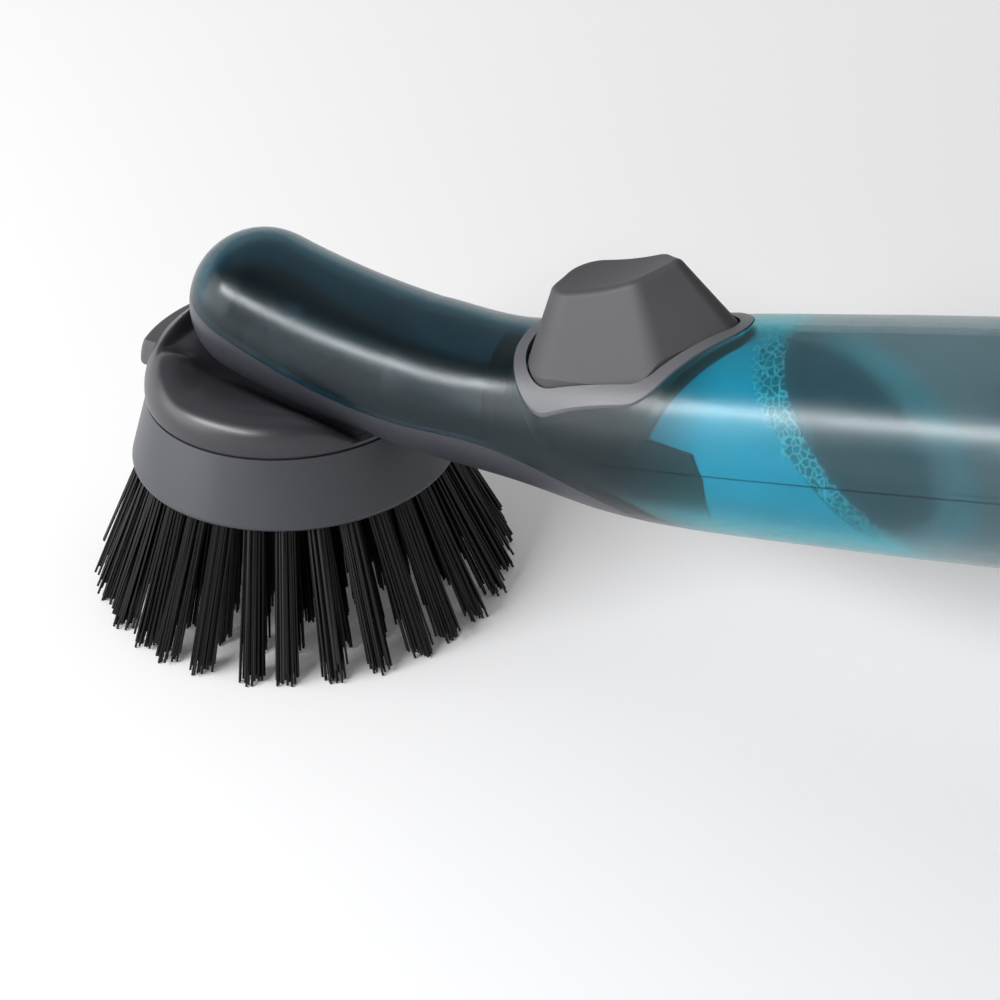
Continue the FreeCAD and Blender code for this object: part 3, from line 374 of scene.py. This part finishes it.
# Soap: a cyan liquid that fills the handle behind the pump, up to a slanted face.
# Its colour comes from dye, and it is a little cloudy.
soap_finish = bpy.data.materials.new("cyan_soap")
soap_finish.use_nodes = True
soap_tree = soap_finish.node_tree
soap_shader = soap_tree.nodes["Principled BSDF"]
soap_shader.inputs["Roughness"].default_value = 0.12
soap_shader.inputs["IOR"].default_value = 1.36
soap_shader.inputs["Transmission Weight"].default_value = 0.15
soap_shader.inputs["Specular IOR Level"].default_value = 0.0
soap_place = soap_tree.nodes.new("ShaderNodeTexCoord")
soap_cloud = soap_tree.nodes.new("ShaderNodeTexNoise")
soap_cloud.inputs["Scale"].default_value = 60.0
soap_tone = soap_tree.nodes.new("ShaderNodeValToRGB")
soap_tone.color_ramp.elements[0].color = (0.000, 0.55, 0.68, 1.0)
soap_tone.color_ramp.elements[1].color = (0.001, 0.66, 0.79, 1.0)
soap_tree.links.new(soap_place.outputs["Object"], soap_cloud.inputs["Vector"])
soap_tree.links.new(soap_cloud.outputs["Fac"], soap_tone.inputs["Fac"])
soap_tree.links.new(soap_tone.outputs["Color"], soap_shader.inputs["Base Color"])
dress(soap_finish, "soap_fill")

# Foam: a lace of small bubbles left on the inside of the shell along the edge of the soap.
# It is a thin slanted band that clings to the wall.
handle_slope = math.radians(11.9)
handle_axis = Vector((math.cos(handle_slope), 0.0, math.sin(handle_slope)))
handle_turn = Matrix.Rotation(math.pi / 2 - handle_slope, 4, "Y")
soap_edge = Vector((0.02035, 0.0, 0.05773))
soap_lean = math.radians(43.0)
air_side = Vector((math.sin(soap_lean), 0.0, math.cos(soap_lean)))
foam_start = 0.0002
foam_width = 0.0046
foam_radius = 0.01535
foam_run = 0.09
foam_segments = 160
foam_cuts = 110
bubble_height = 0.00025
bubble_draw = random.Random(5)
foam_mesh = bmesh.new()
bmesh.ops.create_cone(
    foam_mesh,
    cap_ends=False,
    segments=foam_segments,
    radius1=foam_radius,
    radius2=foam_radius,
    depth=foam_run,
    matrix=Matrix.Translation(soap_edge) @ handle_turn,
)
long_edges = [edge for edge in foam_mesh.edges if edge.calc_length() > foam_run / 2]
bmesh.ops.subdivide_edges(foam_mesh, edges=long_edges, cuts=foam_cuts, use_grid_fill=True)
for offset, clear_outer in ((foam_start, False), (foam_width, True)):
    bmesh.ops.bisect_plane(
        foam_mesh,
        geom=foam_mesh.verts[:] + foam_mesh.edges[:] + foam_mesh.faces[:],
        plane_co=soap_edge + air_side * offset,
        plane_no=air_side,
        clear_outer=clear_outer,
        clear_inner=not clear_outer,
    )
for vert in foam_mesh.verts:
    reach = vert.co - soap_edge
    radial = reach - handle_axis * reach.dot(handle_axis)
    vert.co -= radial.normalized() * bubble_draw.uniform(0.0, bubble_height)
foam_finish = bpy.data.materials.new("bubble_lace")
foam_finish.use_nodes = True
foam_tree = foam_finish.node_tree
foam_shader = foam_tree.nodes["Principled BSDF"]
foam_shader.inputs["Base Color"].default_value = (0.80, 0.90, 0.92, 1.0)
foam_shader.inputs["Roughness"].default_value = 0.25
foam_place = foam_tree.nodes.new("ShaderNodeTexCoord")
foam_cells = foam_tree.nodes.new("ShaderNodeTexVoronoi")
foam_cells.feature = "DISTANCE_TO_EDGE"
foam_cells.inputs["Scale"].default_value = 850.0
foam_alpha = foam_tree.nodes.new("ShaderNodeMapRange")
foam_alpha.inputs["From Max"].default_value = 0.16
foam_alpha.inputs["To Min"].default_value = 0.9
foam_alpha.inputs["To Max"].default_value = 0.10
foam_tree.links.new(foam_place.outputs["Object"], foam_cells.inputs["Vector"])
foam_tree.links.new(foam_cells.outputs["Distance"], foam_alpha.inputs["Value"])
foam_tree.links.new(foam_alpha.outputs["Result"], foam_shader.inputs["Alpha"])
fitted("soap_foam", foam_mesh, foam_finish, "arm")

# Handle shell: one smoky translucent moulding from the nose to the tail, frosted outside.
# Its colour paints light and shade: darker over the neck and the pump for the shade inside them, a bright
# cyan where soap lies behind it for the soap's light through the wall, and its own pale grey where it is
# empty.
# The mould's halves meet along a fine line at mid height.
neck_shade_x = -0.036
soap_glow_x = 0.036
# Painted shade over the neck and the pump, and a painted soap glow over the soap, set along the handle.
neck_shade_tint = (0.060, 0.160, 0.210, 1.0)
pump_shade_tint = (0.090, 0.230, 0.290, 1.0)
soap_glow_tint = (0.14, 0.64, 0.74, 1.0)
dry_tint = (0.32, 0.44, 0.48, 1.0)
line_tint = (0.02, 0.06, 0.08, 1.0)
pump_shade_share = 0.36
soap_glow_share = 0.56
dry_blend_share = 1.5
mould_up = Vector((-math.sin(handle_slope), 0.0, math.cos(handle_slope)))
mould_rise = 0.0004
mould_half = 0.00010
mould_fade = 0.00022
mould_strength = 0.75
inner_wall = 0.0159
outer_wall = 0.0163
smoke_shell = bpy.data.materials.new("smoke_shell")
smoke_shell.use_nodes = True
smoke_nodes = smoke_shell.node_tree.nodes
smoke_link = smoke_shell.node_tree.links.new
smoke_shader = smoke_nodes["Principled BSDF"]
smoke_shader.inputs["IOR"].default_value = 1.34
smoke_shader.inputs["Transmission Weight"].default_value = 0.97
smoke_grain = smoke_nodes.new("ShaderNodeGroup")
smoke_grain.node_tree = moulded_grain
smoke_grain.inputs["Gloss"].default_value = 0.24
smoke_grain.inputs["Grain Scale"].default_value = 4200.0
smoke_grain.inputs["Grain Height"].default_value = 0.2
smoke_place = smoke_nodes.new("ShaderNodeTexCoord")
smoke_axes = smoke_nodes.new("ShaderNodeSeparateXYZ")
smoke_link(smoke_place.outputs["Object"], smoke_axes.inputs["Vector"])


def smoke_math(operation, value, constant=0.0):
    """A sum on one value over the shell."""
    node = smoke_nodes.new("ShaderNodeMath")
    node.operation = operation
    node.inputs[1].default_value = constant
    smoke_link(value, node.inputs[0])
    return node


def smoke_range(value, low, high, start=0.0, end=1.0):
    """A value that goes from start to end between two places on the shell."""
    node = smoke_nodes.new("ShaderNodeMapRange")
    node.inputs["From Min"].default_value = low
    node.inputs["From Max"].default_value = high
    node.inputs["To Min"].default_value = start
    node.inputs["To Max"].default_value = end
    smoke_link(value, node.inputs["Value"])
    return node.outputs["Result"]


def smoke_height(direction):
    """How far a place lies along a direction."""
    node = smoke_nodes.new("ShaderNodeVectorMath")
    node.operation = "DOT_PRODUCT"
    node.inputs[1].default_value = direction
    smoke_link(smoke_place.outputs["Object"], node.inputs[0])
    return node.outputs["Value"]


def smoke_mix(share, colour, other):
    """A colour that gives way to another by a share."""
    node = smoke_nodes.new("ShaderNodeMix")
    node.data_type = "RGBA"
    node.inputs["B"].default_value = other
    smoke_link(share, node.inputs["Factor"])
    smoke_link(colour, node.inputs["A"])
    return node.outputs["Result"]


shade_glow_ramp = smoke_nodes.new("ShaderNodeValToRGB")
shade_glow_steps = shade_glow_ramp.color_ramp.elements
shade_glow_steps[0].color = neck_shade_tint
shade_glow_steps[1].position = soap_glow_share
shade_glow_steps[1].color = soap_glow_tint
shade_glow_steps.new(pump_shade_share).color = pump_shade_tint
smoke_link(smoke_range(smoke_axes.outputs["X"], neck_shade_x, soap_glow_x), shade_glow_ramp.inputs["Fac"])
foam_level = soap_edge.dot(air_side)
dry_start = foam_level + foam_width
dry_share = smoke_range(smoke_height(air_side), dry_start, foam_level + foam_width * dry_blend_share)
shade_and_glow_tone = smoke_mix(dry_share, shade_glow_ramp.outputs["Color"], dry_tint)
mould_level = soap_edge.dot(mould_up) + mould_rise
mould_off = smoke_math("SUBTRACT", smoke_height(mould_up), mould_level)
mould_away = smoke_math("ABSOLUTE", mould_off.outputs["Value"])
mould_near = smoke_range(mould_away.outputs["Value"], mould_half, mould_fade, mould_strength, 0.0)
mould_side = smoke_math("ABSOLUTE", smoke_axes.outputs["Y"])
mould_skin = smoke_range(mould_side.outputs["Value"], inner_wall, outer_wall)
mould_share = smoke_math("MULTIPLY", mould_near)
smoke_link(mould_skin, mould_share.inputs[1])
smoke_link(smoke_mix(mould_share.outputs["Value"], shade_and_glow_tone, line_tint), smoke_grain.inputs["Tone"])
smoke_link(smoke_grain.outputs["Colour"], smoke_shader.inputs["Base Color"])
smoke_link(smoke_grain.outputs["Roughness"], smoke_shader.inputs["Roughness"])
smoke_link(smoke_grain.outputs["Normal"], smoke_shader.inputs["Normal"])
dress(smoke_shell, "handle_shell")

# Bezel round the button: a paler grey than the skirt with a coarser sparkle, let into the shell.
# The thumb button is over-moulded with a soft-touch skin and has a scooped top.
sparkle_grey = moulded("sparkle_grey", tone=(0.085, 0.088, 0.098), gloss=0.40, grain=2600.0, tooth=0.5)
soft_touch = moulded("soft_touch", tone=(0.046, 0.044, 0.049), gloss=0.60, grain=3000.0, tooth=0.35)
dress(sparkle_grey, "button_bezel")
dress(soft_touch, "thumb_button")

# Stage: a pale floor that glows more with distance, and a low pale wall far round it.
# A long narrow soft box stands at the front left, a broad one at the left and a large one overhead.
floor_half = 8.0
floor_glow = (0.08, 0.64)
floor_glow_reach = (0.12, 1.30)
wall_radius = 6.0
wall_height = 2.0
wall_glow = 0.88
wall_segments = 96


def staged(name, mesh, finish):
    """A piece of the stage, which isn't part of the wand."""
    data = bpy.data.meshes.new(name)
    mesh.to_mesh(data)
    mesh.free()
    data.materials.append(finish)
    piece = bpy.data.objects.new(name, data)
    bpy.context.scene.collection.objects.link(piece)


pale_sweep = bpy.data.materials.new("pale_sweep")
pale_sweep.use_nodes = True
pale_tree = pale_sweep.node_tree
pale_shader = pale_tree.nodes["Principled BSDF"]
pale_shader.inputs["Base Color"].default_value = (0.90, 0.90, 0.91, 1.0)
pale_shader.inputs["Roughness"].default_value = 0.9
pale_shader.inputs["Specular IOR Level"].default_value = 0.1
pale_shader.inputs["Emission Strength"].default_value = 1.0
pale_place = pale_tree.nodes.new("ShaderNodeTexCoord")
pale_far = pale_tree.nodes.new("ShaderNodeVectorMath")
pale_far.operation = "LENGTH"
pale_glow = pale_tree.nodes.new("ShaderNodeMapRange")
pale_glow.inputs["From Min"].default_value, pale_glow.inputs["From Max"].default_value = floor_glow_reach
pale_glow.inputs["To Min"].default_value, pale_glow.inputs["To Max"].default_value = floor_glow
pale_tree.links.new(pale_place.outputs["Object"], pale_far.inputs[0])
pale_tree.links.new(pale_far.outputs["Value"], pale_glow.inputs["Value"])
pale_tree.links.new(pale_glow.outputs["Result"], pale_shader.inputs["Emission Color"])
floor_mesh = bmesh.new()
bmesh.ops.create_grid(floor_mesh, x_segments=2, y_segments=2, size=floor_half)
staged("pale_floor", floor_mesh, pale_sweep)

wall_finish = bpy.data.materials.new("pale_wall")
wall_finish.use_nodes = True
wall_shader = wall_finish.node_tree.nodes["Principled BSDF"]
wall_shader.inputs["Base Color"].default_value = (0.02, 0.02, 0.02, 1.0)
wall_shader.inputs["Roughness"].default_value = 0.9
wall_shader.inputs["Specular IOR Level"].default_value = 0.0
wall_shader.inputs["Emission Color"].default_value = (1.0, 1.0, 1.0, 1.0)
wall_shader.inputs["Emission Strength"].default_value = wall_glow
wall_mesh = bmesh.new()
bmesh.ops.create_cone(
    wall_mesh,
    cap_ends=False,
    segments=wall_segments,
    radius1=wall_radius,
    radius2=wall_radius,
    depth=wall_height,
    matrix=Matrix.Translation((0.0, 0.0, wall_height / 2)),
)
staged("pale_wall", wall_mesh, wall_finish)

world = bpy.data.worlds.new("studio")
bpy.context.scene.world = world
world.use_nodes = True
air = world.node_tree.nodes["Background"]
air.inputs["Color"].default_value = (1.0, 1.0, 1.0, 1.0)
air.inputs["Strength"].default_value = 0.08


def soft_box(name, place, target, width, height, power):
    """A rectangular lamp turned toward a target."""
    lamp = bpy.data.lights.new(name, "AREA")
    lamp.shape = "RECTANGLE"
    lamp.size = width
    lamp.size_y = height
    lamp.energy = power
    stand = bpy.data.objects.new(name, lamp)
    stand.location = place
    stand.rotation_euler = (Vector(target) - Vector(place)).to_track_quat("-Z", "Y").to_euler()
    bpy.context.scene.collection.objects.link(stand)


soft_box("front_left_box", (-0.36, -0.68, 0.48), (0.0, 0.0, 0.05), width=0.75, height=0.10, power=8.4)
soft_box("left_box", (-0.75, -0.55, 0.28), (-0.08, 0.0, 0.04), width=0.8, height=0.5, power=4.2)
soft_box("overhead", (-0.1, 0.40, 1.00), (0.0, 0.0, 0.0), width=2.2, height=1.4, power=3.8)

# Camera at the photograph's viewing angle, fitted to the head's base ring, the neck and the handle.
lens = bpy.data.cameras.new("camera")
lens.sensor_width = 36.0
lens.lens = 79.2
lens.shift_y = 0.006
lens.clip_start = 0.01
lens.clip_end = 20.0
camera = bpy.data.objects.new("camera", lens)
camera.location = (0.12230, -0.27119, 0.23365)
camera.rotation_euler = (math.radians(56.6284), math.radians(1.4198), math.radians(30.0650))
bpy.context.scene.collection.objects.link(camera)
bpy.context.scene.camera = camera
bpy.context.scene.view_settings.view_transform = "Standard"
